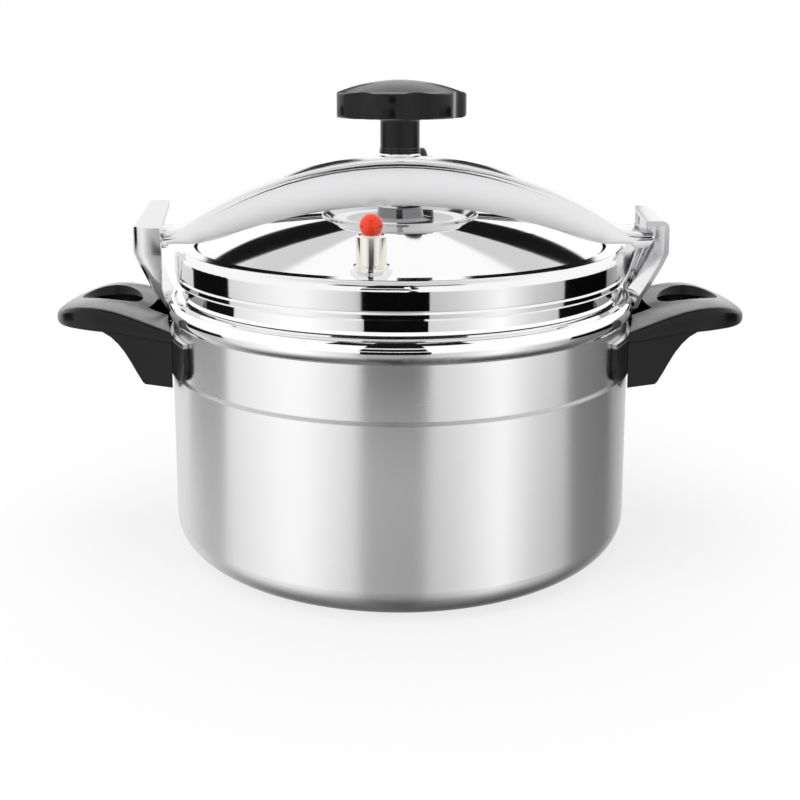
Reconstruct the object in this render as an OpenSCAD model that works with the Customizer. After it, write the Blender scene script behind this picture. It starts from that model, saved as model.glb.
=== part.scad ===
// Bow-clamped pressure canner: a drawn aluminium pot, a lid that sits over its neck, and a
// pressed steel bow that hooks under a bracket at each side and is screwed down on the lid.
// Millimetres. The origin is the centre of the pot's flat base, +Z is up and the bow lies along X.

/* [Pot] */
// Outer radius of the pot's lower wall
pot_r = 125; // [124.6:0.1:125.4]
// Height of the small step where the upper wall is spun in
step_z = 97; // [85:1:105]
// How far the upper wall is spun in at the step
step_in = 0.8; // [0.4:0.1:1]
// Radius of the rounded corner at the base
base_corner_r = 15; // [12:1:24]
// Thickness of the pot's wall
wall_t = 2.6; // [2.2:0.1:3]
// Thickness of the pot's base
base_t = 4; // [3:0.5:6]
// Outer radius of the bead below the neck
bead_r = 126.8; // [126.4:0.1:127]
// Height of the bead's lower edge
bead_z = 125; // [124:0.5:126]
// Height of the pot's mouth
mouth_z = 150; // [149:0.5:150]

/* [Lid] */
// Outer radius of the lid's skirt
lid_r = 122.6; // [122.2:0.1:122.8]
// Height of the lid's rim, its highest ring under the bow's ends
rim_z = 162; // [161:0.1:162]
// Height of the flat at the lid's centre
crown_z = 169.8; // [169:0.1:169.8]
// Thickness of the lid
lid_t = 2.2; // [2:0.1:2.4]

/* [Bow] */
// Half length of the bow, from the spindle to the tip of each end
bow_half_l = 136.4; // [136:0.2:136.8]
// Width of the bow
bow_w = 40; // [36:1:40]
// Height of the top of the bow's arch
bow_top_z = 208; // [207:0.5:209]
// Radius of the arch
arch_r = 207; // [204:1:210]

/* [Clamp screw] */
// Radius of the spindle's thread
spindle_r = 6; // [5.5:0.1:6.4]
// Radius of the pressure plate's flared rim
plate_r = 43; // [41:0.5:43]
// Height of the pressure plate's rim
plate_top_z = 176.6; // [176:0.1:177]

/* [Knob] */
// Radius over the knob's lobes
knob_r = 36.2; // [33:0.2:38]
// Number of lobes round the knob
knob_lobes = 7; // [5:1:9]
// Depth of the hollows between the lobes
knob_hollow = 3.6; // [2:0.2:5]
// Radius of the knob's stem
stem_r = 10.8; // [10:0.2:12]

/* [Handles] */
// Radius of the finger hole in each handle
finger_r = 15; // [12:0.5:16]
// Half width of a handle where it meets the pot
handle_half_w = 46; // [43:1:47]
// Height of the underside of a handle's foot
handle_foot_z = 90; // [88:1:92]

/* [Valves] */
// Radius of the indicator's housing
indicator_r = 7.3; // [7:0.1:7.5]
// Radius of the indicator's red ball
ball_r = 5.6; // [5:0.1:5.8]
// Radius of the regulator weight
weight_r = 11; // [10:0.5:12]

/* [Hidden] */
$fn = 96;
upper_r = pot_r - step_in;
neck_r = 118.6;
mouth_r = 118.2;
bore_r = pot_r - wall_t;
bore_upper_r = upper_r - wall_t;
neck_bore_r = 115.6;

valley_r = 110.5;
crown_r = 34;
valley_z = rim_z - 1.2;
cone_slope = (crown_z - valley_z) / (valley_r - crown_r);
skirt_bottom_z = 143.8;
skirt_in_r = lid_r - lid_t;
roof_in_z = rim_z - lid_t;
gasket_r = skirt_in_r - 0.1;

indicator_pos = [-13.4, -96];
vent_pos = [9, 60];
function cone_z(p) = crown_z - (norm(p) - crown_r) * cone_slope;
indicator_seat_z = cone_z(indicator_pos) + 1.2;
vent_seat_z = cone_z(vent_pos) + 1.6;
boss_r = 10;
boss_hole_r = 5.1;
boss_t = 5;
nut_t = 5;
washer_t = 1.6;

arch_cz = bow_top_z - arch_r;
end_top_z = 168.8;
end_low_z = rim_z + 0.7;
sweep_r = 20;
sweep_cz = end_top_z + sweep_r;
sweep_cx = sqrt(pow(arch_r + sweep_r, 2) - pow(sweep_cz - arch_cz, 2));
end_drop = 2.4;
end_drop_x = 123.8;
belly_r = 270;
belly_z = 183.3;
arch_end_x = arch_r * sweep_cx / (arch_r + sweep_r);
bow_crown = 0.8;
nose_r = 6.4;
bow_t = 3.2;
bow_edge_r = 4;

hook_in_x = 141.7;
// each lip: where it ends on its open side and on its stop's side, its height at its lower side, its slope
right_lip = [131.3, 134.6, end_top_z + 3.4, 4];
left_lip = [131, 128.2, end_top_z + 0.8, -13];
hook_t = 2.6;
hook_w = 40;
plate_in_r = upper_r + 0.2;
plate_out_r = plate_in_r + hook_t;
foot_a = 31;
foot_low_z = 97.6;
finger_x = 159;
wing_corner_r = 9;
rivet_a = 12;
rivet_z = 107;
rivet_r = 2.5;
screw_z = 104;
screw_r = 2.6;

journal_r = 5;
run_gap = 0.08;
plate_low_z = crown_z + 0.4;
plate_boss_z = 180.6;
shoulder_z = plate_boss_z + 0.35;
bush_low_z = 188;
stem_low_z = bow_top_z + 1.8;
knob_low_z = 229.4;
knob_edge_z = 243;
knob_top_z = 249.5;

ball_z = 183.7;
pin_r = 3.02;
pin_low_z = 143;
housing_top_z = 179.4;
weight_low_z = 176.5;

// ---------------------------------------------------------------- general shapes

// A square washer or tube section turned about Z at a place on the lid
module ring(r_out, r_in, z0, z1) {
    translate([0, 0, z0]) difference() {
        cylinder(r = r_out, h = z1 - z0);
        translate([0, 0, -1]) cylinder(r = r_in, h = z1 - z0 + 2);
    }
}

// A hexagon nut with a round bore
module hex_nut(flats, r_in, z0, z1) {
    translate([0, 0, z0]) difference() {
        cylinder(r = flats / sqrt(3), h = z1 - z0, $fn = 6);
        translate([0, 0, -1]) cylinder(r = r_in, h = z1 - z0 + 2);
    }
}

// A bar with its section in the XZ plane, centred on Y
module along_y(w) {
    translate([0, w / 2, 0]) rotate([90, 0, 0]) linear_extrude(w) children();
}

// A closed skin through rings of equal length. Seen along the sweep, each ring runs clockwise
module skin(rings) {
    n = len(rings[0]);
    last = len(rings) - 1;
    polyhedron([for (r = rings, p = r) p], concat(
        [[for (i = [0:n - 1]) i]],
        [for (k = [0:last - 1], i = [0:n - 1]) let (j = (i + 1) % n, a = k * n, b = a + n)
            [a + i, b + i, b + j, a + j]],
        [[for (i = [n - 1:-1:0]) last * n + i]]), convexity = 8);
}

// ---------------------------------------------------------------- pot

// Outside of the pot as a half section
module pot_outside() {
    square([pot_r - base_corner_r, base_corner_r + 10]);
    translate([pot_r - base_corner_r, base_corner_r]) intersection() {
        circle(base_corner_r);
        translate([0, -base_corner_r]) square(base_corner_r);
    }
    polygon([[0, base_corner_r], [pot_r, base_corner_r], [pot_r, step_z - step_in], [upper_r, step_z],
             [upper_r, bead_z], [0, bead_z]]);
    // the rounded bead
    intersection() {
        translate([bead_r - 7.4, bead_z + 4.6]) circle(7.4);
        translate([0, bead_z]) square([200, 9.6]);
    }
    polygon([[0, bead_z - 1], [upper_r, bead_z - 1], [upper_r + 1.2, bead_z + 0.4],
             [upper_r, bead_z + 9.2], [neck_r + 3.4, bead_z + 10.6], [neck_r + 0.6, bead_z + 11.4],
             [neck_r, bead_z + 13], [mouth_r, mouth_z - 0.8], [mouth_r - 0.8, mouth_z], [0, mouth_z]]);
}

// Inside of the pot as a half section
module pot_inside() {
    in_corner = base_corner_r - wall_t;
    translate([0, base_t]) square([bore_r - in_corner, in_corner + 10]);
    translate([bore_r - in_corner, base_t + in_corner]) intersection() {
        circle(in_corner);
        translate([0, -in_corner]) square(in_corner);
    }
    polygon([[0, base_t + in_corner], [bore_r, base_t + in_corner], [bore_r, step_z - 3],
             [bore_upper_r, step_z - 1], [bore_upper_r, bead_z + 3],
             [neck_bore_r, bead_z + 10], [neck_bore_r, mouth_z + 1], [0, mouth_z + 1]]);
}

module pot_body() {
    color("silver") difference() {
        rotate_extrude() difference() {
            pot_outside();
            pot_inside();
        }
        for (side = [0, 180]) rotate([0, 0, side]) rivet_holes();
    }
}

// ---------------------------------------------------------------- lid

module lid_section() {
    rim_edge = 4.6;
    difference() {
        union() {
            polygon([[0, crown_z - lid_t - 0.8], [0, crown_z], [crown_r, crown_z], [valley_r, valley_z],
                     [valley_r + 1.6, valley_z + 0.2], [valley_r + 3.4, rim_z - 0.3],
                     [valley_r + 4.8, rim_z], [lid_r - rim_edge, rim_z],
                     [lid_r - rim_edge, roof_in_z], [valley_r + 2, roof_in_z],
                     [valley_r, valley_z - lid_t], [crown_r, crown_z - lid_t]]);
            translate([lid_r - rim_edge, rim_z - rim_edge]) circle(rim_edge);
            translate([skirt_in_r, skirt_bottom_z + 4.8])
                square([lid_t, rim_z - rim_edge - skirt_bottom_z - 4.8]);
            // the rolled lower edge, set in from the skirt by a fine line
            polygon([[skirt_in_r, skirt_bottom_z + 4.8], [lid_r, skirt_bottom_z + 4.8],
                     [lid_r - 0.9, skirt_bottom_z + 4], [lid_r - 0.5, skirt_bottom_z + 3],
                     [lid_r - 0.5, skirt_bottom_z + 1], [lid_r - 1.2, skirt_bottom_z], [skirt_in_r, skirt_bottom_z]]);
        }
        translate([0, rim_z - rim_edge - 50]) square([skirt_in_r, 50]);
        translate([0, roof_in_z - 8]) square([skirt_in_r - 2.6, 8]);
    }
    // the roof between the skirt and the cone, which the gasket bears on
    translate([valley_r + 2, roof_in_z]) square([skirt_in_r - valley_r - 3, lid_t]);
    // the inner bead that keeps the gasket in its channel
    translate([valley_r - 1, roof_in_z - 5]) square([2, 5]);
}

module lid() {
    color("gainsboro") difference() {
        union() {
            rotate_extrude() lid_section();
            translate(indicator_pos) translate([0, 0, indicator_seat_z - boss_t]) cylinder(r = boss_r, h = boss_t);
            translate(vent_pos) translate([0, 0, vent_seat_z - boss_t]) cylinder(r = boss_r, h = boss_t);
        }
        translate(indicator_pos) translate([0, 0, 150]) cylinder(r = boss_hole_r, h = 30);
        translate(vent_pos) translate([0, 0, 150]) cylinder(r = boss_hole_r, h = 30);
    }
}

module lid_gasket() {
    in_r = valley_r + 2;
    color("dimgray") rotate_extrude() difference() {
        polygon([[in_r, mouth_z], [gasket_r, mouth_z], [gasket_r, roof_in_z - 2.6],
                 [skirt_in_r - 2.8, roof_in_z - 2.6], [skirt_in_r - 2.8, roof_in_z], [in_r, roof_in_z]]);
        polygon([[in_r - 1, mouth_z + 3.4], [in_r + 4.5, mouth_z + 4.6],
                 [in_r + 4.5, mouth_z + 5.6], [in_r - 1, mouth_z + 6.4]]);
    }
}

// ---------------------------------------------------------------- brackets

// The hook by height: [z, X of its outer face, half width, how far the far side turns in to the stop, how
// closely it follows the pot's round]
hook_rows = [[109, plate_out_r - 0.2, 13.4, 0, 1], [117.4, plate_out_r - 0.2, 13.4, 0, 1], [122, 128.6, 14.2, 0, 0.3],
             [127.6, 130.2, 15.2, 0.06, 0], [132, 131.8, 16.2, 0.2, 0], [138.4, 135.4, 17.6, 0.45, 0],
             [145, 138.6, 19, 0.7, 0], [151, 141.6, 20.2, 0.9, 0], [157.5, hook_in_x + hook_t, 20.6, 1, 0],
             [163, hook_in_x + hook_t, 20.6, 1, 0], [169, hook_in_x + hook_t, 20.6, 1, 0],
             [187, hook_in_x + hook_t, 20.6, 1, 0]];
hook_bend_r = 9.6;
stop_end_x = 127.4;

// Ring of plan points at one height: up the outer face, round the bend and along the stop, then back inside
function hook_ring(row, lip) = let (x = row[1], w = row[2], turn = row[3], t = hook_t - 0.7 * row[4],
        r = t + 0.2 + (hook_bend_r - t - 0.2) * turn, y = w + t * min(1, turn * 3),
        cx = x - r, cy = y - r, ex = cx - 0.1 - (cx - lookup(row[0], [[150, stop_end_x], [169, lip[1]]])) * turn, near_y = -hook_w / 2 * w / 20.6)
    [for (p = concat([[x, near_y]], [for (a = [0:15:90]) [cx + r * cos(a), cy + r * sin(a)]],
                     [[ex, y], [ex, y - t]],
                     [for (a = [90:-15:0]) [cx + (r - t) * cos(a), cy + (r - t) * sin(a)]], [[x - t, near_y]]))
        [p[0] - row[4] * (x - sqrt(pow(x, 2) - pow(p[1], 2))), p[1], row[0]]];

// Plan of the lip over the bow's end, out to the middle of the hook's wall
module lip_plan(lip) {
    x = hook_in_x + hook_t / 2;
    y = 20.6 + hook_t / 2;
    r = hook_bend_r - hook_t / 2;
    polygon(concat([[lip[0], -hook_w / 2], [x, -hook_w / 2]],
                   [for (a = [0:15:90]) [x - r + r * cos(a), y - r + r * sin(a)]],
                   [[lip[1], y], [lip[1] - 0.6, y - 3]]));
}

// Lifts a shape by a slope that starts at low_y
module sloped(low_y, tilt) {
    multmatrix([[1, 0, 0, 0], [0, 1, 0, 0], [0, tan(tilt), 1, -low_y * tan(tilt)], [0, 0, 0, 1]]) children();
}

module hook(lip) {
    lip_z = lip[2];
    tilt = lip[3];
    low_y = tilt > 0 ? -hook_w / 2 : hook_w / 2;
    fold_r = 4;
    intersection() {
        union() {
            skin([for (row = hook_rows) hook_ring(row, lip)]);
            sloped(low_y, tilt) translate([0, 0, lip_z]) linear_extrude(hook_t + 3) lip_plan(lip);
        }
        // the lip's upper face and the round fold at its outer edge
        sloped(low_y, tilt) along_y(80) polygon(concat([[100, 90], [160, 90], [hook_in_x + hook_t + 0.4, lip_z - 3]],
            [for (a = [15:15:90]) [hook_in_x + hook_t + fold_r * (cos(a) - 1), lip_z + hook_t + fold_r * (sin(a) - 1)]],
            [[100, lip_z + hook_t]]));
    }
}

// One bracket with its hook to the right. Its stop is on the far side, so the bow turns in from the front
module bracket(lip) {
    color("lightgray") {
        difference() {
            intersection() {
                ring(plate_out_r, plate_in_r, foot_low_z, 118.6);
                rotate([0, 0, -foot_a]) cube([200, 200, 200]);
                rotate([0, 0, foot_a]) mirror([0, 1, 0]) cube([200, 200, 200]);
            }
            rivet_holes();
            translate([100, 0, screw_z]) rotate([0, 90, 0]) cylinder(r = screw_r, h = 50);
            // the wings' lower corners are rounded
            for (m = [0, 1]) mirror([0, m, 0]) rotate([0, 0, foot_a]) translate([100, -wing_corner_r, foot_low_z])
                rotate([90, 0, 90]) linear_extrude(50) difference() {
                    translate([0, -1]) square(wing_corner_r + 1);
                    translate([0, wing_corner_r]) circle(wing_corner_r);
                }
        }
        hook(lip);
    }
}

// Round shanks or holes for the two rivets of one bracket, pointing out from the pot
module rivet_spots() {
    for (a = [-rivet_a, rivet_a]) rotate([0, 0, a]) translate([0, 0, rivet_z]) rotate([0, 90, 0]) children();
}

module rivet_holes() {
    rivet_spots() translate([0, 0, 100]) cylinder(r = rivet_r, h = 50);
}

module bracket_rivets() {
    head_r = 4.5;
    color("gainsboro") rivet_spots() {
        translate([0, 0, bore_upper_r - 1.3]) cylinder(r = head_r, h = 1.2);
        translate([0, 0, bore_upper_r - 0.6]) cylinder(r = rivet_r, h = plate_out_r - bore_upper_r + 1.2);
        translate([0, 0, plate_out_r + 0.02]) intersection() {
            cylinder(r = head_r, h = 1.6);
            translate([0, 0, -5]) sphere(r = 6.6);
        }
    }
}

// ---------------------------------------------------------------- handles

// The grip by distance from the pot: [X, half width, height of its rim, rise to its crown, height of its
// underside, how far its middle is dished]
grip_rows = [[112, 47.6, 118, 0.8, 113.2, 1], [118, 46, 119.6, 1, 113.6, 1], [126, 43.8, 122.2, 1.1, 114.2, 1],
             [134, 41.6, 124.8, 1.2, 115, 1], [142, 39.6, 127.2, 1.3, 116, 1], [150, 38, 129.4, 1.4, 117, 1],
             [157, 36.8, 130.7, 1.5, 117.7, 1], [163, 35.4, 131.1, 1.6, 118, 0.9], [168, 33.6, 130.8, 1.7, 118.2, 0.7],
             [172.5, 31, 130, 1.8, 118.2, 0.45], [176.5, 27.8, 128.8, 1.9, 118, 0.2], [180, 24.2, 127.5, 1.9, 117.8, 0],
             [183, 20.4, 126.1, 1.8, 117.6, 0], [185.6, 16.2, 124.8, 1.5, 117.5, 0], [187.7, 12, 123.6, 1.1, 117.5, 0],
             [189.3, 8, 122.5, 0.8, 117.6, 0], [190.4, 4, 121.4, 0.5, 118, 0]];

// Rise across the grip from one edge, at -1, to the other: a plain crown, or a bar at each side of a dish
crown_line = [[-0.92, 0.5], [-0.8, 0.86], [-0.66, 1], [-0.5, 0.88], [-0.34, 0.5], [-0.17, 0.12], [0, -0.05]];
function rise(u, dish) = dish * lookup(-abs(u), crown_line) + (1 - dish) * (1 - pow(abs(u), 2.4));

// Ring of the grip's section at one row: a crowned top with round edges and a flat underside
function grip_ring(row) = let (x = row[0], w = row[1] * handle_half_w / 46, z = row[2], c = row[3], l = row[4],
        r = min(2.6, w * 0.6, (z - l) * 0.45), b = min(1.6, r))
    concat([for (a = [180:-30:90]) [x, -w + r + r * cos(a), z - r + r * sin(a)]],
           [for (k = crown_line) [x, (w - r) * k[0], z + c * rise(k[0], row[5])]],
           [for (i = [len(crown_line) - 2:-1:0]) let (u = -crown_line[i][0]) [x, (w - r) * u, z + c * rise(u, row[5])]],
           [for (a = [90:-30:0]) [x, w - r + r * cos(a), z - r + r * sin(a)]],
           [[x, w, l + b], [x, w - b * 0.3, l + b * 0.3], [x, w - b, l]],
           [[x, -w + b, l], [x, -w + b * 0.3, l + b * 0.3], [x, -w, l + b]]);

// Plan of the foot under the grip, set in a little from its edge
module foot_plan() {
    polygon([[100, -handle_half_w - 3], [112, -handle_half_w - 0.2], [134, -handle_half_w + 5.8], [150, -handle_half_w + 9.4],
             [170, -30], [170, 30], [150, handle_half_w - 9.4], [134, handle_half_w - 5.8],
             [112, handle_half_w + 0.2], [100, handle_half_w + 3]]);
}

// Side view of the foot: a flat underside, then a hollow slope up to the grip
module foot_side() {
    polygon([[100, handle_foot_z + 0.6], [119, handle_foot_z], [134.6, handle_foot_z + 0.8], [135.8, handle_foot_z + 1.8],
             [139.2, 97.2], [142.2, 102.4], [145.4, 107.4], [149, 111.8], [153, 115.2], [158, 117.6], [164, 118.6],
             [168, 120.4], [118, 116.6], [100, 114]]);
}

// Hole that the fingers go through, flared at its upper rim
module finger_hole() {
    translate([finger_x, 0, 100]) cylinder(r = finger_r, h = 60);
    translate([finger_x, 0, 127.6]) cylinder(r1 = finger_r - 0.1, r2 = finger_r + 8, h = 10);
}

module handle() {
    color([0.09, 0.09, 0.09]) difference() {
        union() {
            skin([for (i = [len(grip_rows) - 1:-1:0]) grip_ring(grip_rows[i])]);
            intersection() {
                translate([0, 0, 50]) linear_extrude(100) foot_plan();
                along_y(120) foot_side();
            }
        }
        translate([0, 0, 50]) cylinder(r = plate_out_r + 0.1, h = 100);
        finger_hole();
        // the round notch that the hook's upright stands in
        translate([plate_out_r + 1.4, 0, 108]) intersection() {
            cylinder(r = 17.4, h = 40);
            translate([-20, -17.4, 0]) cube([29, 34.8, 40]);
        }
        // pockets for the rivet heads
        rivet_spots() translate([0, 0, 120]) cylinder(r = 5.4, h = plate_out_r - 120 + 2.4);
        // the screw's hole and the flat its head bears on
        translate([120, 0, screw_z]) rotate([0, 90, 0]) cylinder(r = screw_r + 0.1, h = 60);
        translate([141, 0, screw_z]) rotate([0, 90, 0]) cylinder(r = 5.4, h = 60);
    }
}

module handle_screw() {
    color("dimgray") translate([0, 0, screw_z]) rotate([0, 90, 0]) {
        translate([0, 0, plate_in_r]) cylinder(r = screw_r, h = 141 - plate_in_r);
        difference() {
            translate([0, 0, 141]) cylinder(r = 4.6, h = 3.4);
            translate([-0.6, -6, 143.4]) cube([1.2, 12, 2]);
        }
    }
}

// ---------------------------------------------------------------- indicator

module indicator_housing() {
    bore = 3.1;
    seat_z = housing_top_z - 3.2;
    color("silver") translate(indicator_pos) rotate_extrude() polygon([
        [bore, 150.6], [5, 150.6], [5, indicator_seat_z], [indicator_r + 1.2, indicator_seat_z],
        [indicator_r + 1.2, indicator_seat_z + 1.4], [indicator_r, indicator_seat_z + 1.8],
        [indicator_r, housing_top_z - 0.8], [indicator_r - 0.8, housing_top_z],
        [6.1, housing_top_z], [6.1, seat_z], [bore, seat_z]]);
}

module indicator_washer() {
    z1 = indicator_seat_z - boss_t;
    color("orangered") translate(indicator_pos) ring(8.6, 5, z1 - washer_t, z1);
}

module indicator_nut() {
    z1 = indicator_seat_z - boss_t - washer_t;
    color("gray") translate(indicator_pos) hex_nut(15, 5, z1 - nut_t, z1);
}

module indicator_pin() {
    color("gainsboro") translate(indicator_pos) {
        translate([0, 0, pin_low_z + 3.8]) cylinder(r = pin_r, h = ball_z - 3 - pin_low_z - 3.8);
        translate([0, 0, pin_low_z]) cylinder(r = 4.6, h = 2);
        translate([0, 0, pin_low_z + 2]) cylinder(r1 = 4, r2 = pin_r, h = 1.8);
    }
}

module indicator_ball() {
    color("red") translate(indicator_pos) difference() {
        union() {
            translate([0, 0, ball_z]) sphere(r = ball_r);
            translate([0, 0, housing_top_z - 2.8]) cylinder(r = 5.2, h = 2.6);
        }
        translate([0, 0, 150]) cylinder(r = pin_r, h = ball_z - 3 - 150);
    }
}

// ---------------------------------------------------------------- vent and regulator weight

module vent_pipe() {
    color("silver") translate(vent_pos) difference() {
        union() {
            translate([0, 0, vent_seat_z]) cylinder(r = 8.4 / cos(30), h = 3, $fn = 6);
            translate([0, 0, vent_seat_z]) cylinder(r = 4.6, h = 17);
            translate([0, 0, vent_seat_z + 17]) cylinder(r1 = 4.6, r2 = 2.4, h = 4);
            translate([0, 0, 153.4]) cylinder(r = 5, h = vent_seat_z - 153.4 + 1);
        }
        translate([0, 0, 150]) cylinder(r = 1.3, h = 60);
    }
}

module vent_washer() {
    z1 = vent_seat_z - boss_t;
    color("orangered") translate(vent_pos) ring(8.6, 5, z1 - washer_t, z1);
}

module vent_nut() {
    z1 = vent_seat_z - boss_t - washer_t;
    color("gray") translate(vent_pos) hex_nut(15, 5, z1 - nut_t, z1);
}

module vent_filter() {
    color("silver") translate(vent_pos) difference() {
        translate([0, 0, 147.6]) cylinder(r = 8, h = 7.6);
        translate([0, 0, 148.8]) cylinder(r = 6.8, h = 4.6);
        translate([0, 0, 150]) cylinder(r = 5, h = 8);
        for (a = [0:45:179]) rotate([0, 0, a]) translate([-10, -1, 150]) cube([20, 2, 2.4]);
    }
}

module regulator_weight() {
    color([0.1, 0.1, 0.1]) translate(vent_pos) rotate_extrude() difference() {
        polygon([[0, weight_low_z], [weight_r - 1, weight_low_z], [weight_r, weight_low_z + 1],
                 [weight_r, 197], [weight_r - 1.2, 198.2], [7, 198.2], [7, 201], [0, 201]]);
        polygon([[-1, weight_low_z - 1], [4.9, weight_low_z - 1], [4.9, vent_seat_z + 17.4],
                 [2.9, vent_seat_z + 21], [1, vent_seat_z + 23.2], [-1, vent_seat_z + 23.2]]);
    }
}

module weight_cap() {
    color([0.06, 0.06, 0.06]) translate(vent_pos) rotate_extrude() difference() {
        union() {
            square([weight_r - 3.5, 203]);
            translate([0, 203]) intersection() { circle(weight_r - 3.5); square([20, 5]); }
            translate([0, 198.2]) square([weight_r - 0.4, 4.4]);
        }
        square([20, 198.2]);
        square([7, 201]);
    }
}

// ---------------------------------------------------------------- bow

// Height of the bow's top along X: the arch, the sweep back to level, then the flat end
function bow_top(x) = let (a = abs(x))
    a < arch_end_x ? arch_cz + sqrt(pow(arch_r, 2) - pow(a, 2)) :
    a < sweep_cx ? sweep_cz - sqrt(pow(sweep_r, 2) - pow(sweep_cx - a, 2)) : end_top_z;

// Height of the bow's lower edge along X: the belly, the level end and its round nose
function bow_low(x) = let (a = abs(x), n = max(0, a - bow_half_l + nose_r))
    max(end_low_z, belly_z - belly_r + sqrt(pow(belly_r, 2) - pow(a, 2)))
        - end_drop * min(1, max(0, (a - end_drop_x) / 2)) + nose_r - sqrt(pow(nose_r, 2) - pow(n, 2));

// One side of the channel's outline at x, from the skirt's foot to the middle of the top
function bow_outer(x) = let (h = bow_w / 2, t = bow_top(x) - bow_crown, l = bow_low(x),
                             e = min(bow_edge_r, t - l - 0.4))
    concat([[h, l]], [for (a = [0:22.5:90]) [h - e + e * cos(a), t - e + e * sin(a)]],
           [[8, t + bow_crown * 0.8]]);
function bow_inner(x) = let (h = bow_w / 2 - bow_t, l = bow_low(x),
                             t = max(bow_top(x) - bow_crown - bow_t, l + 0.4), e = min(1.6, t - l - 0.2))
    concat([[h, l]], [for (a = [0:22.5:90]) [h - e + e * cos(a), t - e + e * sin(a)]], [[8, t]]);

// The whole outline at x as points, outside first and then inside, from +Y to -Y
function both_halves(half, mid) =
    concat(half, [mid], [for (i = [len(half) - 1:-1:0]) [-half[i][0], half[i][1]]]);
function bow_ring(x) = let (
        o = both_halves(bow_outer(x), [0, bow_top(x)]),
        i = both_halves(bow_inner(x), [0, max(bow_top(x) - bow_crown - bow_t, bow_low(x) + 0.4)]))
    [for (p = concat(o, i)) [x, p[0], p[1]]];

module bow_shell() {
    half_xs = concat([for (x = [0:12:108]) x], [for (a = [0:4]) arch_end_x + a * (end_drop_x - arch_end_x) / 4],
                     [end_drop_x + 2, sweep_cx, bow_half_l - nose_r],
                     [for (a = [30:20:70]) bow_half_l - nose_r + nose_r * sin(a)], [bow_half_l - 0.04]);
    xs = concat([for (i = [len(half_xs) - 1:-1:1]) -half_xs[i]], half_xs);
    rings = [for (x = xs) bow_ring(x)];
    n = len(rings[0]) / 2;
    m = 2 * n;
    last = (len(xs) - 1) * m;
    faces = concat(
        [for (k = [0:len(xs) - 2], i = [0:n - 2]) let (a = k * m + i) [a, a + m, a + m + 1, a + 1]],
        [for (k = [0:len(xs) - 2], i = [0:n - 2]) let (a = k * m + n + i) [a, a + 1, a + m + 1, a + m]],
        [for (k = [0:len(xs) - 2]) let (a = k * m) [a, a + n, a + m + n, a + m]],
        [for (k = [0:len(xs) - 2]) let (a = k * m + n - 1) [a, a + m, a + m + n, a + n]],
        [for (i = [0:n - 2]) [i, i + 1, i + n + 1, i + n]],
        [for (i = [0:n - 2]) [last + i, last + i + n, last + i + n + 1, last + i + 1]]);
    polyhedron([for (r = rings, p = r) p], faces, convexity = 6);
}

module bow() {
    color("gainsboro") difference() {
        bow_shell();
        translate([0, 0, 195]) cylinder(r = 9.6, h = 30);
    }
}

module bow_bush() {
    color("gray") {
        ring(9.5, spindle_r + run_gap, bow_top_z - bow_t - 2, bow_top_z + 0.9);
        ring(11.4, spindle_r + run_gap, bow_top_z + 0.05, bow_top_z + 0.9);
        ring(14, spindle_r + run_gap, bush_low_z, bow_top_z - bow_t - 1.5);
    }
}

// ---------------------------------------------------------------- clamp screw

module pressure_plate() {
    color("lightgray") rotate_extrude() difference() {
        polygon([[journal_r + run_gap, plate_low_z + 2.8], [8.2, plate_low_z + 2.8], [8.2, plate_low_z],
                 [34.6, plate_low_z], [36, plate_low_z + 1.2], [38.4, 172.8], [39, 172.8],
                 [plate_r, plate_top_z - 1.6], [plate_r, plate_top_z - 0.4], [plate_r - 0.6, plate_top_z],
                 [plate_r - 2.4, plate_top_z], [37, 174.2], [18, 173.8], [13, 175],
                 [12.2, plate_boss_z - 0.6], [11.6, plate_boss_z], [journal_r + run_gap, plate_boss_z]]);
        translate([0, 0]) square([journal_r + run_gap, 300]);
    }
}

module plate_clip() {
    z1 = plate_low_z + 2.4;
    color("dimgray") translate([0, 0, z1 - 1.2]) difference() {
        cylinder(r = 7.4, h = 1.2);
        translate([0, 0, -1]) cylinder(r = 4, h = 4);
        translate([0, -2.4, -1]) cube([10, 4.8, 4]);
    }
}

module spindle() {
    z1 = plate_low_z + 2.4;
    color("gray") {
        translate([0, 0, plate_low_z + 0.4]) cylinder(r = 4.8, h = 0.8);
        translate([0, 0, plate_low_z + 1]) cylinder(r = 4, h = 2);
        translate([0, 0, z1]) cylinder(r = journal_r, h = shoulder_z - z1);
        translate([0, 0, shoulder_z]) cylinder(r = spindle_r, h = 236 - shoulder_z);
    }
}

module stem_washer() {
    color("black") ring(stem_r + 0.5, spindle_r + 0.02, stem_low_z, stem_low_z + 1.4);
}

// Outline of the knob's head, a smooth wave round a circle
module knob_plan() {
    n = 18 * knob_lobes;
    polygon([for (i = [0:n - 1]) let (a = i * 360 / n,
                 r = knob_r - knob_hollow * pow((1 - cos(knob_lobes * (a + 100.5))) / 2, 1.6))
             r * [cos(a), sin(a)]]);
}

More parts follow.
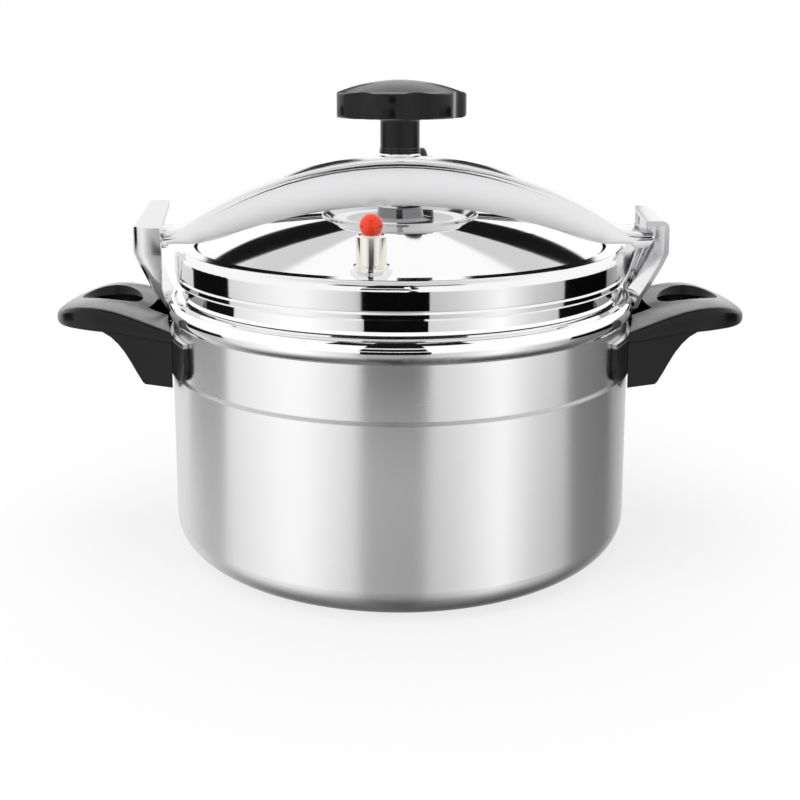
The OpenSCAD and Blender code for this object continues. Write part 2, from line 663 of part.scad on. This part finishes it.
module knob() {
    edge = 2.6;
    dome_drop = knob_top_z - knob_edge_z;
    dome_r = (pow(knob_r - edge, 2) + pow(dome_drop, 2)) / (2 * dome_drop);
    color([0.07, 0.07, 0.07]) difference() {
        union() {
            intersection() {
                translate([0, 0, 220]) linear_extrude(40) knob_plan();
                rotate_extrude() {
                    side = knob_r - edge + 0.2;
                    intersection() {
                        translate([0, knob_top_z - dome_r]) circle(dome_r);
                        translate([0, knob_low_z]) square([side, 30]);
                    }
                    translate([0, knob_low_z + edge]) square([side + edge, knob_edge_z - knob_low_z - 2 * edge]);
                    for (z = [knob_low_z + edge, knob_edge_z - edge]) translate([side, z]) circle(edge);
                }
            }
            translate([0, 0, stem_low_z + 1.4]) cylinder(r = stem_r + 0.3, h = 1.6);
            translate([0, 0, stem_low_z + 3]) cylinder(r = stem_r, h = knob_low_z - stem_low_z - 2);
            translate([0, 0, knob_low_z - 2]) cylinder(r1 = stem_r, r2 = stem_r + 2.4, h = 2.2);
        }
        translate([0, 0, 200]) cylinder(r = spindle_r + 0.02, h = 36);
        translate([0, 0, 230]) cylinder(r = 2.6, h = 30);
        translate([0, 0, 246.4]) cylinder(r = 4.4, h = 10);
    }
}

module knob_screw() {
    color("dimgray") difference() {
        union() {
            translate([0, 0, 236]) cylinder(r = 2.58, h = 10.6);
            translate([0, 0, 246.4]) cylinder(r = 4.2, h = 2);
        }
        for (a = [0, 90]) rotate([0, 0, a]) translate([-2.4, -0.5, 247.4]) cube([4.8, 1, 3]);
    }
}

// ---------------------------------------------------------------- both sides

// The two brackets are one pressing, set half a turn apart
module left_side() { rotate([0, 0, 180]) children(); }

pot_body();
lid();
lid_gasket();
left_side() bracket(left_lip);  // left_bracket
bracket(right_lip);  // right_bracket
left_side() bracket_rivets();  // left_rivets
bracket_rivets();  // right_rivets
left_side() handle();  // left_handle
handle();  // right_handle
left_side() handle_screw();  // left_handle_screw
handle_screw();  // right_handle_screw
indicator_housing();
indicator_washer();
indicator_nut();
indicator_pin();
indicator_ball();
vent_pipe();
vent_washer();
vent_nut();
vent_filter();
regulator_weight();
weight_cap();
bow();
bow_bush();
pressure_plate();
plate_clip();
spindle();
stem_washer();
knob();
knob_screw();
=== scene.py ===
import math

import bpy
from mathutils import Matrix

# A bow-clamped pressure canner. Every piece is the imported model's own solid; this script
# gives the pieces their finishes and adds the studio floor, the light and the camera.
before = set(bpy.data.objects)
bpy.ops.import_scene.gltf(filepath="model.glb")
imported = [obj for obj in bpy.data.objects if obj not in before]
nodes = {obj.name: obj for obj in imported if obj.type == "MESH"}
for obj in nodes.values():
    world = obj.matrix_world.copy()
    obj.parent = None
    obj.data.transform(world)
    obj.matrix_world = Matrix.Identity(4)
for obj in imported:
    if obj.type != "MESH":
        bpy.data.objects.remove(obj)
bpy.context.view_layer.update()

# ---------------------------------------------------------------- camera
# A long lens a little above the lid, looking along +Y at the front of the pot. The lens is
# shifted, which keeps the pot in the frame with its walls nearly upright.
scene = bpy.context.scene
camera_tilt = math.radians(9)
frame_side = 800
focal_length = 1115
camera = bpy.data.objects.new("camera", bpy.data.cameras.new("camera"))
camera.data.sensor_width = 36
camera.data.lens = focal_length / frame_side * 36
camera.data.shift_y = -0.201
camera.data.clip_start = 0.01
camera.location = (0, -0.61, 0.2586)
camera.rotation_euler = (math.pi / 2 - camera_tilt, 0, 0)
scene.collection.objects.link(camera)
scene.camera = camera

# ---------------------------------------------------------------- tent
# A tent of white cloth with black card strips, which the polished metal mirrors. The tent
# is the world: its brightness goes by compass direction and by height above the horizon.
scene.view_settings.view_transform = "Standard"
world = bpy.data.worlds.new("tent")
scene.world = world
world.use_nodes = True
tree = world.node_tree
tree.nodes.clear()


def node(tree, kind, **values):
    """Adds a node. i_NAME and nNUMBER set an input, anything else an attribute."""
    n = tree.nodes.new(kind)
    for key, value in values.items():
        if key.startswith("i_"):
            n.inputs[key[2:]].default_value = value
        elif key.startswith("n"):
            n.inputs[int(key[1:])].default_value = value
        else:
            setattr(n, key, value)
    return n


def maths(tree, operation, a, b=0.0, c=0.0):
    """Adds a Math node whose inputs are numbers or sockets, and returns its output."""
    n = node(tree, "ShaderNodeMath", operation=operation)
    for socket, value in zip(n.inputs, (a, b, c)):
        if isinstance(value, (int, float)):
            socket.default_value = value
        else:
            tree.links.new(value, socket)
    return n.outputs[0]


def slope(tree, value, start, end, first=0.0, last=1.0):
    """Goes smoothly from first to last while value goes from start to end."""
    n = node(tree, "ShaderNodeMapRange", interpolation_type="SMOOTHSTEP",
             n1=start, n2=end, n3=first, n4=last)
    tree.links.new(value, n.inputs[0])
    return n.outputs[0]


def between(tree, value, low, high, soft):
    """1 where value lies from low to high, falling to 0 over soft."""
    rise = slope(tree, value, low - soft, low + soft)
    fall = slope(tree, value, high - soft, high + soft)
    return maths(tree, "SUBTRACT", rise, fall)


def card(tree, side, side_range, side_soft, height, height_range, height_soft):
    """A card that fills a range of compass direction and of height, in degrees."""
    return maths(tree, "MULTIPLY", between(tree, side, *side_range, side_soft),
                 between(tree, height, *height_range, height_soft))


def parts(tree, output):
    """The X, Y and Z of the given texture coordinate."""
    where = node(tree, "ShaderNodeTexCoord")
    split = node(tree, "ShaderNodeSeparateXYZ")
    tree.links.new(where.outputs[output], split.inputs[0])
    return split.outputs


degrees = 180 / math.pi
x, y, z = parts(tree, "Generated")
side = maths(tree, "ARCTAN2", x, maths(tree, "MULTIPLY", y, -1))
side = maths(tree, "MULTIPLY", side, degrees)
height = maths(tree, "MULTIPLY", maths(tree, "ARCSINE", z), degrees)

# how bright the cloth is round the pot, by degrees from the camera's side, left of it first
cloth = [
    (-180, 0.70), (-122, 0.65),                                         # behind the pot
    (-115, 0.50), (-98, 0.50),                                          # a grey fold
    (-91, 0.70), (-57, 1.00), (-47, 1.00), (-22, 0.65),                 # the left window
    (-17, 0.40), (9, 0.35),                                             # the camera's side
    (15, 0.55), (27, 0.65), (50, 1.00), (69, 0.60), (86, 0.45),         # the right window
    (97, 0.20), (124, 0.15), (160, 0.60),                               # a dark drape
]
ramp = node(tree, "ShaderNodeValToRGB")
tree.links.new(maths(tree, "MULTIPLY_ADD", side, 1 / 360, 0.5), ramp.inputs[0])
stops = ramp.color_ramp.elements
while len(stops) > 1:
    stops.remove(stops[0])
stops[0].position = 0
stops[0].color = (cloth[0][1],) * 3 + (1,)
for direction, brightness in cloth[1:]:
    stop = stops.new((direction + 180) / 360)
    stop.color = (brightness,) * 3 + (1,)

# above the pot the cloth is one even white
level = node(tree, "ShaderNodeMix", data_type="FLOAT")
tree.links.new(between(tree, height, -6, 95, 8), level.inputs[0])
tree.links.new(ramp.outputs[0], level.inputs[2])
level.inputs[3].default_value = 1.0

# a tall black card in front, with gaps, then one low at each side and one high in front,
# which the buffed skirt and bead show
rows = maths(tree, "ADD", between(tree, height, -14.5, -9.9, 0.3),
             between(tree, height, 8, 25, 1.0))
rows = maths(tree, "ADD", rows, between(tree, height, 31, 66, 1.0))
front_card = maths(tree, "MULTIPLY", between(tree, side, -18.5, 12.5, 0.7), rows)
left_card = card(tree, side, (-124, -92), 0.8, height, (-15.5, -3), 0.6)
right_card = card(tree, side, (87, 124), 0.8, height, (-15.5, -3), 0.6)
top_card = card(tree, side, (-44, 43), 1.5, height, (46, 60), 1.0)

# behind, two black strips that lean out from the middle, with pale grey above them, for
# the lid's cone
spread = maths(tree, "ABSOLUTE", maths(tree, "ARCTAN2", x, y))
spread = maths(tree, "MULTIPLY", spread, degrees)
foot = maths(tree, "SUBTRACT", height, maths(tree, "MULTIPLY_ADD", spread, 2.08, -10.96))
head = maths(tree, "SUBTRACT", height, maths(tree, "MULTIPLY_ADD", spread, 0.5, 11.9))
strips = card(tree, foot, (0, 90), 0.3, head, (-60, 0), 0.3)
strips = maths(tree, "MULTIPLY", strips, between(tree, spread, 3.5, 14, 0.4))
haze = card(tree, head, (0.2, 5.2), 0.5, spread, (-5, 12), 2.5)
haze = maths(tree, "MULTIPLY_ADD", haze, -0.36, 1)

dark = front_card
for black in (top_card, left_card, right_card, strips):
    dark = maths(tree, "MAXIMUM", dark, black)
card_black = -0.992
tent_strength = 1.12
glow = maths(tree, "MULTIPLY", level.outputs[0],
             maths(tree, "MULTIPLY_ADD", dark, card_black, 1))
glow = maths(tree, "MULTIPLY", glow, maths(tree, "MULTIPLY", haze, tent_strength))
# the light falls off towards the table below and towards the roof
glow = maths(tree, "MULTIPLY", glow, slope(tree, height, -62, -27, 0.16, 1))
glow = maths(tree, "MULTIPLY", glow, slope(tree, height, 42, 88, 1, 0.62))

# mirrors see the tent, matt surfaces an even light, and the camera plain white
path = node(tree, "ShaderNodeLightPath")
tent = node(tree, "ShaderNodeBackground", n0=(1, 1, 1, 1))
tree.links.new(glow, tent.inputs[1])
even = node(tree, "ShaderNodeBackground", n0=(1, 1, 1, 1), n1=0.62)
white = node(tree, "ShaderNodeBackground", n0=(1, 1, 1, 1), n1=1.0)
shiny = maths(tree, "MAXIMUM", path.outputs["Is Glossy Ray"],
              path.outputs["Is Transmission Ray"])
lit = even
for choice, other in ((shiny, tent), (path.outputs["Is Camera Ray"], white)):
    mix = node(tree, "ShaderNodeMixShader")
    tree.links.new(choice, mix.inputs[0])
    tree.links.new(lit.outputs[0], mix.inputs[1])
    tree.links.new(other.outputs[0], mix.inputs[2])
    lit = mix
tree.links.new(lit.outputs[0], node(tree, "ShaderNodeOutputWorld").inputs[0])

# ---------------------------------------------------------------- floor
# White paper under the pot. It keeps the pot's soft shadow and runs out to plain white a
# hand's breadth away, so no horizon shows.
floor_half = 4
mesh = bpy.data.meshes.new("floor")
mesh.from_pydata([(-floor_half, -floor_half, 0), (floor_half, -floor_half, 0),
                  (floor_half, floor_half, 0), (-floor_half, floor_half, 0)],
                 [], [(0, 1, 2, 3)])
floor = bpy.data.objects.new("floor", mesh)
scene.collection.objects.link(floor)
paper = bpy.data.materials.new("paper")
paper.use_nodes = True
tree = paper.node_tree
tree.nodes.clear()
path = node(tree, "ShaderNodeLightPath")
matt = node(tree, "ShaderNodeBsdfDiffuse", n0=(0.86, 0.86, 0.86, 1))
plain_white = node(tree, "ShaderNodeEmission", n1=1.0)
where = node(tree, "ShaderNodeTexCoord")
reach = node(tree, "ShaderNodeVectorMath", operation="LENGTH")
tree.links.new(where.outputs["Object"], reach.inputs[0])
fade = slope(tree, reach.outputs["Value"], 0.13, 0.3, 0.72, 1.0)
mix = node(tree, "ShaderNodeMixShader")
tree.links.new(maths(tree, "MULTIPLY", path.outputs["Is Camera Ray"], fade), mix.inputs[0])
tree.links.new(matt.outputs[0], mix.inputs[1])
tree.links.new(plain_white.outputs[0], mix.inputs[2])
tree.links.new(mix.outputs[0], node(tree, "ShaderNodeOutputMaterial").inputs[0])
mesh.materials.append(paper)
floor.visible_glossy = False

# ---------------------------------------------------------------- flag
# A black felt card that stands close in front, low enough for the pot's bead to mirror it
# and the bow not to. The camera and the shadows don't see it.
flag_left, flag_right = -0.075, 0.058
flag_low, flag_high = 0.088, 0.145
flag_y = -0.3
mesh = bpy.data.meshes.new("flag")
mesh.from_pydata([(flag_left, flag_y, flag_low), (flag_right, flag_y, flag_low),
                  (flag_right, flag_y, flag_high), (flag_left, flag_y, flag_high)],
                 [], [(0, 1, 2, 3)])
flag = bpy.data.objects.new("flag", mesh)
scene.collection.objects.link(flag)
felt = bpy.data.materials.new("black_felt")
felt.use_nodes = True
skin = felt.node_tree.nodes["Principled BSDF"]
skin.inputs["Base Color"].default_value = (0.004, 0.004, 0.004, 1)
skin.inputs["Specular IOR Level"].default_value = 0
mesh.materials.append(felt)
flag.visible_camera = False
flag.visible_diffuse = False
flag.visible_shadow = False

# ---------------------------------------------------------------- lamps
# One broad lamp overhead and a smaller one from the left. They light the matt pieces; the
# metal mirrors the tent instead of them.
for name, size, power, place, turn in (
    ("overhead", 1.2, 9, (0, 0.1, 1.5), (0, 0, 0)),
    ("left_window", 0.7, 5, (-1.1, -0.7, 0.9), (math.radians(55), 0, math.radians(-58))),
):
    lamp = bpy.data.lights.new(name, "AREA")
    lamp.size = size
    lamp.energy = power
    holder = bpy.data.objects.new(name, lamp)
    holder.location = place
    holder.rotation_euler = turn
    holder.visible_glossy = False
    scene.collection.objects.link(holder)

# ---------------------------------------------------------------- pot
# Deep-drawn aluminium, turned on a lathe. The wall keeps the fine satin rings of the
# tool, and the bead and the neck above it are buffed bright.


def group(name, inputs, outputs):
    """An empty shader group with named number sockets, and its two ends."""
    g = bpy.data.node_groups.new(name, "ShaderNodeTree")
    for label, default in inputs:
        socket = g.interface.new_socket(label, in_out="INPUT", socket_type="NodeSocketFloat")
        socket.default_value = default
    for label in outputs:
        g.interface.new_socket(label, in_out="OUTPUT", socket_type="NodeSocketFloat")
    return g, g.nodes.new("NodeGroupInput"), g.nodes.new("NodeGroupOutput")


# rings left by the lathe: noise that is long round the axis and fine across it
rings, rings_in, rings_out = group(
    "turned_rings", [("Across", 2600.0), ("Around", 1.4)], ["Height", "Blotch"])
x, y, z = parts(rings, "Object")
radius = maths(rings, "SQRT", maths(rings, "ADD", maths(rings, "MULTIPLY", x, x),
                                    maths(rings, "MULTIPLY", y, y)))
join = node(rings, "ShaderNodeCombineXYZ")
nearly_axis = 0.0005
for axis, along in enumerate((x, y)):
    unit = maths(rings, "DIVIDE", along, maths(rings, "MAXIMUM", radius, nearly_axis))
    rings.links.new(maths(rings, "MULTIPLY", unit, rings_in.outputs["Around"]),
                    join.inputs[axis])
across = maths(rings, "ADD", radius, maths(rings, "MULTIPLY", z, 1.3))
rings.links.new(maths(rings, "MULTIPLY", across, rings_in.outputs["Across"]), join.inputs[2])
noise = node(rings, "ShaderNodeTexNoise", i_Scale=1.0, i_Detail=3.0, i_Roughness=0.65)
rings.links.new(join.outputs[0], noise.inputs["Vector"])
rings.links.new(noise.outputs[0], rings_out.inputs["Height"])
where = node(rings, "ShaderNodeTexCoord")
patch = node(rings, "ShaderNodeTexNoise", i_Scale=26.0, i_Detail=4.0, i_Roughness=0.6)
rings.links.new(where.outputs["Object"], patch.inputs["Vector"])
rings.links.new(patch.outputs[0], rings_out.inputs["Blotch"])


def use(tree, source):
    """Places a node group in a material."""
    n = tree.nodes.new("ShaderNodeGroup")
    n.node_tree = source
    return n


def metal(name, colour, anisotropic=0.0):
    """A metal with the lathe's rings placed in it; the streaks lie across the rings."""
    m = bpy.data.materials.new(name)
    m.use_nodes = True
    b = m.node_tree.nodes["Principled BSDF"]
    b.inputs["Base Color"].default_value = (*colour, 1)
    b.inputs["Metallic"].default_value = 1
    b.inputs["Anisotropic"].default_value = anisotropic
    if anisotropic:
        t = node(m.node_tree, "ShaderNodeTangent", direction_type="RADIAL", axis="Z")
        m.node_tree.links.new(t.outputs[0], b.inputs["Tangent"])
        b.inputs["Anisotropic Rotation"].default_value = 0.25
    return m, m.node_tree, b, use(m.node_tree, rings).outputs


def bump(tree, bsdf, height, distance, strength):
    """Raises the surface by the given height."""
    n = node(tree, "ShaderNodeBump", i_Distance=distance, i_Strength=strength)
    tree.links.new(height, n.inputs["Height"])
    tree.links.new(n.outputs[0], bsdf.inputs["Normal"])


def tint(tree, bsdf, mask, plain, marked):
    """Colours a surface plain, and marked where the mask is 1."""
    n = node(tree, "ShaderNodeMix", data_type="RGBA", n6=(*plain, 1), n7=(*marked, 1))
    tree.links.new(mask, n.inputs[0])
    tree.links.new(n.outputs[2], bsdf.inputs["Base Color"])


def dress(material, *names):
    """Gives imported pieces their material."""
    for name in names:
        data = nodes[name].data
        data.materials.clear()
        data.materials.append(material)


aluminium = (0.915, 0.915, 0.92)
dulled_aluminium = (0.74, 0.74, 0.745)
buffed_from, buffed_to = 0.1247, 0.16
step_low, step_high = 0.0957, 0.0975
wall, tree, skin, lathe = metal("satin_wall", aluminium, 0.9)
x, y, z = parts(tree, "Object")
bright = between(tree, z, buffed_from, buffed_to, 0.0004)
rough = node(tree, "ShaderNodeMix", data_type="FLOAT")
tree.links.new(bright, rough.inputs[0])
tree.links.new(maths(tree, "MULTIPLY_ADD", lathe["Height"], 0.1, 0.2), rough.inputs[2])
tree.links.new(maths(tree, "MULTIPLY_ADD", lathe["Blotch"], 0.04, 0.03), rough.inputs[3])
# the spun-in step is dulled by the tool
step = between(tree, z, step_low, step_high, 0.0003)
tree.links.new(maths(tree, "MULTIPLY_ADD", step, 0.3, rough.outputs[0]),
               skin.inputs["Roughness"])
tint(tree, skin, maths(tree, "MULTIPLY_ADD", lathe["Blotch"], 0.12, step),
     aluminium, dulled_aluminium)
grooves = maths(tree, "MULTIPLY", lathe["Height"], maths(tree, "SUBTRACT", 1, bright))
bump(tree, skin, grooves, 0.00002, 0.4)
dress(wall, "pot_body")

# ---------------------------------------------------------------- lid
# Pressed from thick aluminium sheet and buffed to a mirror. Faint circular marks of the
# buffing wheel stay in it.
mirror, tree, skin, lathe = metal("mirror_lid", (0.83, 0.83, 0.835), 0.4)
tree.links.new(maths(tree, "MULTIPLY_ADD", lathe["Blotch"], 0.05, 0.025),
               skin.inputs["Roughness"])
bump(tree, skin, lathe["Height"], 0.000004, 0.3)
dress(mirror, "lid")

# ---------------------------------------------------------------- bow
# One band of pressed steel with a satin finish. It spans the lid, and its ends catch under
# the two hooks.
facets = bpy.data.node_groups.new("soften", "GeometryNodeTree")
facets.interface.new_socket("Geometry", in_out="INPUT", socket_type="NodeSocketGeometry")
for label, default in (("Merge Distance", 0.000003), ("Sharp Angle", math.radians(32))):
    socket = facets.interface.new_socket(label, in_out="INPUT",
                                         socket_type="NodeSocketFloat")
    socket.default_value = default
facets.interface.new_socket("Geometry", in_out="OUTPUT", socket_type="NodeSocketGeometry")
enter = facets.nodes.new("NodeGroupInput")
leave = facets.nodes.new("NodeGroupOutput")
merge = node(facets, "GeometryNodeMergeByDistance")
all_smooth = node(facets, "GeometryNodeSetShadeSmooth", domain="FACE")
edge_angle = node(facets, "GeometryNodeInputMeshEdgeAngle")
sharp = node(facets, "FunctionNodeCompare", operation="GREATER_THAN", data_type="FLOAT")
crisp = node(facets, "GeometryNodeSetShadeSmooth", domain="EDGE")
crisp.inputs["Shade Smooth"].default_value = False
for source, target in (
    (enter.outputs["Geometry"], merge.inputs[0]),
    (enter.outputs["Merge Distance"], merge.inputs["Distance"]),
    (merge.outputs[0], all_smooth.inputs[0]),
    (edge_angle.outputs[0], sharp.inputs[0]),
    (enter.outputs["Sharp Angle"], sharp.inputs[1]),
    (sharp.outputs[0], crisp.inputs["Selection"]),
    (all_smooth.outputs[0], crisp.inputs[0]),
    (crisp.outputs[0], leave.inputs[0]),
):
    facets.links.new(source, target)


def soften(*names):
    """Joins the facets of curved pieces and keeps their sharp edges."""
    for name in names:
        nodes[name].modifiers.new("soften", "NODES").node_group = facets


def unmirrored(*names):
    """Keeps pieces that stand over the lid out of its mirror, which shows the tent."""
    for name in names:
        nodes[name].visible_glossy = False


satin_grey = (0.74, 0.74, 0.75)
satin, tree, skin, lathe = metal("satin_steel", satin_grey)
tree.links.new(maths(tree, "MULTIPLY_ADD", lathe["Blotch"], 0.06, 0.11),
               skin.inputs["Roughness"])
dress(satin, "bow")
soften("bow")
unmirrored("bow")

# ---------------------------------------------------------------- brackets
# Hooks of the same steel, riveted to the wall. The strap's foot is black where the handle
# wraps it, and the rivets are chromed.
wrap_low, wrap_high = 0.05, 0.1165
held, tree, skin, lathe = metal("bracket_steel", satin_grey)
x, y, z = parts(tree, "Object")
wrapped = between(tree, z, wrap_low, wrap_high, 0.0006)
tint(tree, skin, wrapped, satin_grey, (0.008, 0.008, 0.0085))
tree.links.new(maths(tree, "SUBTRACT", 1, wrapped), skin.inputs["Metallic"])
blotch = maths(tree, "MULTIPLY_ADD", lathe["Blotch"], 0.1, 0.08)
tree.links.new(maths(tree, "MULTIPLY_ADD", wrapped, 0.16, blotch), skin.inputs["Roughness"])
dress(held, "left_bracket", "right_bracket")
soften("left_bracket", "right_bracket")

chrome, tree, skin, lathe = metal("chromed_steel", (0.86, 0.86, 0.87))
tree.links.new(maths(tree, "MULTIPLY_ADD", lathe["Blotch"], 0.12, 0.08),
               skin.inputs["Roughness"])
dress(chrome, "left_rivets", "right_rivets")

# ---------------------------------------------------------------- pressure plate and screw
# The dished plate, the bush, the clip and the spindle are turned steel, as are the small
# nuts and screws. In the plate's hollow the steel is painted dark grey, a painted shade
# standing in for the bow's shadow.
turned = (0.6, 0.6, 0.61)
# the dark grey of the painted shade in the plate's hollow
painted_shade_grey = (0.17, 0.17, 0.175)
hollow_r = 0.0295
hollow_low, hollow_high = 0.14, 0.2
plate, tree, skin, lathe = metal("turned_steel", turned, 0.5)
tree.links.new(maths(tree, "MULTIPLY_ADD", lathe["Height"], 0.12, 0.06),
               skin.inputs["Roughness"])
bump(tree, skin, lathe["Height"], 0.00001, 0.4)
x, y, z = parts(tree, "Object")
radius = maths(tree, "SQRT", maths(tree, "ADD", maths(tree, "MULTIPLY", x, x),
                                   maths(tree, "MULTIPLY", y, y)))
# painted shade: near the axis, between these heights, this steel is tinted dark grey for the
# bow's shadow
hollow_painted_shade = maths(tree, "MULTIPLY", between(tree, radius, -1, hollow_r, 0.001),
               between(tree, z, hollow_low, hollow_high, 0.001))
tint(tree, skin, hollow_painted_shade, turned, painted_shade_grey)
dress(plate, "pressure_plate", "bow_bush", "plate_clip", "spindle", "indicator_nut",
      "vent_nut", "vent_filter", "knob_screw", "left_handle_screw", "right_handle_screw")
unmirrored("pressure_plate", "bow_bush", "plate_clip", "spindle")

# ---------------------------------------------------------------- knob and handles
# Moulded in black bakelite with a glossy skin. The upward faces are painted grey, a
# painted sheen for the light that they catch. The vent's weight is the same stuff.

# cloudy patches and a fine grain, as moulded pieces have them
mould, mould_in, mould_out = group(
    "moulding_grain",
    [("Cloud Scale", 90.0), ("Cloud Detail", 5.0), ("Cloud Roughness", 0.6),
     ("Grain Scale", 1500.0)],
    ["Cloud", "Grain"])
where = node(mould, "ShaderNodeTexCoord")
cloud = node(mould, "ShaderNodeTexNoise")
for socket in ("Scale", "Detail", "Roughness"):
    mould.links.new(mould_in.outputs["Cloud " + socket], cloud.inputs[socket])
fine = node(mould, "ShaderNodeTexNoise", i_Detail=2.0)
mould.links.new(mould_in.outputs["Grain Scale"], fine.inputs["Scale"])
for noise, label in ((cloud, "Cloud"), (fine, "Grain")):
    mould.links.new(where.outputs["Object"], noise.inputs["Vector"])
    mould.links.new(noise.outputs[0], mould_out.inputs[label])


def moulded(name):
    """A moulded material with the cloud and the grain placed in it."""
    m = bpy.data.materials.new(name)
    m.use_nodes = True
    b = m.node_tree.nodes["Principled BSDF"]
    return m, m.node_tree, b, use(m.node_tree, mould)


def black_bakelite(name, painted_sheen_grey):
    """Black bakelite whose upward faces are painted grey, a painted sheen."""
    m, tree, skin, grain = moulded(name)
    skin.inputs["Specular IOR Level"].default_value = 0.22
    skin.inputs["Coat Weight"].default_value = 0.08
    skin.inputs["Coat Roughness"].default_value = 0.08
    facing = node(tree, "ShaderNodeNewGeometry")
    split = node(tree, "ShaderNodeSeparateXYZ")
    tree.links.new(facing.outputs["Normal"], split.inputs[0])
    # painted sheen: faces turned upward are tinted grey in patches, standing in for the
    # light they catch
    up = slope(tree, split.outputs[2], 0.72, 0.99)
    patches = maths(tree, "MULTIPLY_ADD", grain.outputs["Cloud"], 0.7, 0.65)
    tint(tree, skin, maths(tree, "MULTIPLY", up, patches),
         (0.004, 0.004, 0.0043), (painted_sheen_grey,) * 3)
    tree.links.new(maths(tree, "MULTIPLY_ADD", grain.outputs["Cloud"], 0.12, 0.16),
                   skin.inputs["Roughness"])
    bump(tree, skin, grain.outputs["Grain"], 0.00001, 0.25)
    return m


# the knob's painted sheen is nearly black, the handles' a clear grey
dress(black_bakelite("bakelite", 0.02), "knob", "stem_washer", "regulator_weight",
      "weight_cap")
dress(black_bakelite("grip_bakelite", 0.26), "left_handle", "right_handle")
soften("knob", "left_handle", "right_handle")
unmirrored("knob", "stem_washer")

# ---------------------------------------------------------------- indicator and vent
# A nickel-plated housing, screwed through the lid, holds a pin that lifts a red silicone
# ball under pressure. The vent pipe is plated too, and red washers seal both.
nickel, tree, skin, lathe = metal("nickel", (0.83, 0.80, 0.74), 0.4)
tree.links.new(maths(tree, "MULTIPLY_ADD", lathe["Blotch"], 0.16, 0.04),
               skin.inputs["Roughness"])
dress(nickel, "indicator_housing", "indicator_pin", "vent_pipe")


def soft_rubber(name, dark, light, roughness):
    """Rubber or silicone with a slow change of colour and a matt grain."""
    m, tree, skin, grain = moulded(name)
    for label, value in (("Cloud Scale", 160), ("Cloud Detail", 4),
                         ("Cloud Roughness", 0.5), ("Grain Scale", 2500)):
        grain.inputs[label].default_value = value
    tint(tree, skin, grain.outputs["Cloud"], dark, light)
    tree.links.new(maths(tree, "MULTIPLY_ADD", grain.outputs["Cloud"], 0.15, roughness),
                   skin.inputs["Roughness"])
    bump(tree, skin, grain.outputs["Grain"], 0.00001, 0.2)
    return m


red = soft_rubber("red_silicone", (0.82, 0.03, 0.004), (0.95, 0.06, 0.006), 0.06)
dress(red, "indicator_ball", "indicator_washer", "vent_washer")
unmirrored("indicator_ball")

# ---------------------------------------------------------------- gasket
# A grey rubber ring, pressed into the lid's channel, that seals it on the pot's mouth.
# It is hidden while the lid is on.
dress(soft_rubber("grey_rubber", (0.16, 0.16, 0.16), (0.21, 0.21, 0.21), 0.5), "lid_gasket")
